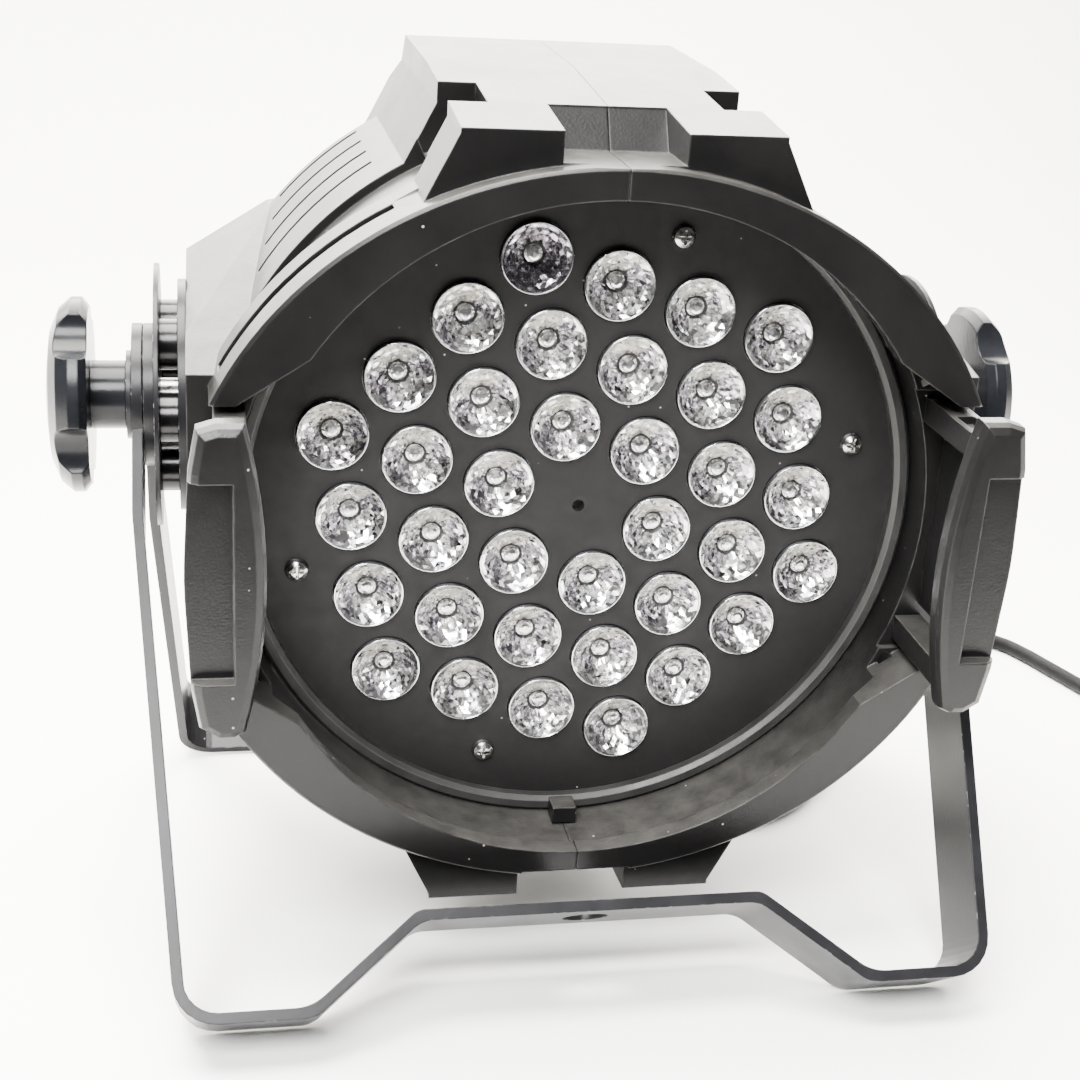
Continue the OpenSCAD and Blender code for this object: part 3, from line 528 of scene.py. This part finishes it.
def add_optic(bm, rims, place, rng, dim):
    """A fine rim, a bowl of uneven facets, and the dome in its middle. A dim optic gets the painted dark
    reflection nearly all over.
    """
    turn = rng.random() * 6.28
    seat = HEAD @ Matrix.Translation(place)
    lathe(rims, [(r * MM, y * MM) for r, y in RIM], 40, seat)
    rows = []
    for level, (radius, depth) in enumerate(BOWL):
        loose = 0 if level in (0, len(BOWL) - 1) else 1
        row = []
        for k in range(FACETS):
            angle = turn + 2 * math.pi * (k + 0.5 * (level % 2)) / FACETS
            r = (radius + loose * rng.uniform(-0.22, 0.22)) * MM
            y = (depth + loose * rng.uniform(-0.30, 0.30)) * MM
            row.append(bm.verts.new(seat @ Vector((r * math.cos(angle), y, r * math.sin(angle)))))
        rows.append(row)
    for level, (a, b) in enumerate(zip(rows, rows[1:])):
        shift = 1 - level % 2
        for k in range(FACETS):
            n = (k + 1) % FACETS
            if shift:
                corners = ((a[k], a[n], b[k]), (a[n], b[n], b[k]))
            else:
                corners = ((a[k], b[n], b[k]), (a[k], a[n], b[n]))
            for three in corners:
                angle = math.degrees(turn + 2 * math.pi * (k + 0.5) / FACETS)
                kind = facet_kind(angle, level, len(BOWL) - 2, rng)
                # A dim optic is painted with the dark reflection nearly all over
                if dim and kind != DARK and rng.random() < 0.9:
                    kind = PAINTED_DARK_REFLECTION
                bm.faces.new(three).material_index = kind
    lathe(bm, [(r * MM, y * MM) for r, y in DOME], 14, seat)


optics, rims, rng = bmesh.new(), bmesh.new(), random.Random(36)
top_left = max(lens_places(), key=lambda at: at.z - 0.6 * at.x)
for place in lens_places():
    add_optic(optics, rims, place, rng, (place - top_left).length < MM)
bowls = add_mesh("lens_bowls", optics, "cup_silver", "head", smooth=0)
# The bowls' further slots: black, the painted warm reflection and the painted dark reflection
for name in ("cup_black", "cup_painted_warm_reflection", "cup_painted_dark_reflection"):
    bowls.data.materials.append(MATERIALS[name])
lens_rims = add_mesh("lens_rims", rims, "lens_rim", "head", smooth=50)
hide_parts("lenses")
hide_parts("lenses", "lens_cups", "led_chips")


# ---------- light, floor ----------

def add_light(name, place, aim, size, power, colour=(1, 1, 1), spread=None):
    data = bpy.data.lights.new(name, "AREA")
    data.shape = "RECTANGLE"
    data.size, data.size_y = size
    data.energy = power
    data.color = colour
    if spread:
        data.spread = math.radians(spread)
    lamp = bpy.data.objects.new(name, data)
    place, aim = Vector(place), Vector(aim)
    turn = (aim - place).to_track_quat("-Z", "Y").to_matrix().to_4x4()
    lamp.matrix_world = Matrix.Translation(place) @ turn
    bpy.context.scene.collection.objects.link(lamp)
    return lamp


def add_floor():
    """Floor that runs up into a back wall in one curve. Its front edge lies out of view."""
    bm = bmesh.new()
    line = [(-0.30, 0.0), (0.9, 0.0)]
    radius = 0.6
    for k in range(1, 13):
        a = math.radians(90 * k / 12)
        line.append((0.9 + radius * math.sin(a), radius - radius * math.cos(a)))
    line.append((1.5, 3.2))
    rows = [[bm.verts.new((x, y, z - 0.0003)) for x in (-4.0, 4.0)] for y, z in line]
    for a, b in zip(rows, rows[1:]):
        bm.faces.new((a[0], a[1], b[1], b[0]))
    mesh = bpy.data.meshes.new("studio_floor")
    bm.to_mesh(mesh)
    bm.free()
    mesh.polygons.foreach_set("use_smooth", [True] * len(mesh.polygons))
    floor = bpy.data.objects.new("studio_floor", mesh)
    bpy.context.scene.collection.objects.link(floor)
    paint = Paint("studio_white", specular_ior_level=0.2, base_color=(0.96, 0.955, 0.94), roughness=0.6)
    mesh.materials.append(paint.material)


add_floor()
world = bpy.data.worlds.new("studio")
world.use_nodes = True
world.node_tree.nodes["Background"].inputs["Color"].default_value = (1, 1, 1, 1)
world.node_tree.nodes["Background"].inputs["Strength"].default_value = 0.16
bpy.context.scene.world = world
add_light("back_panel", (0, 1.15, 1.1), (0, 0.1, 0.1), (2.4, 1.0), 170, (1.0, 0.97, 0.91))
add_light("key_top", (-0.25, -0.05, 1.2), (0, -0.03, 0.1), (0.8, 0.8), 130, (1.0, 0.975, 0.93))
add_light("front_fill", (-0.35, -1.0, 1.0), (0, 0, 0.14), (0.6, 0.5), 75)
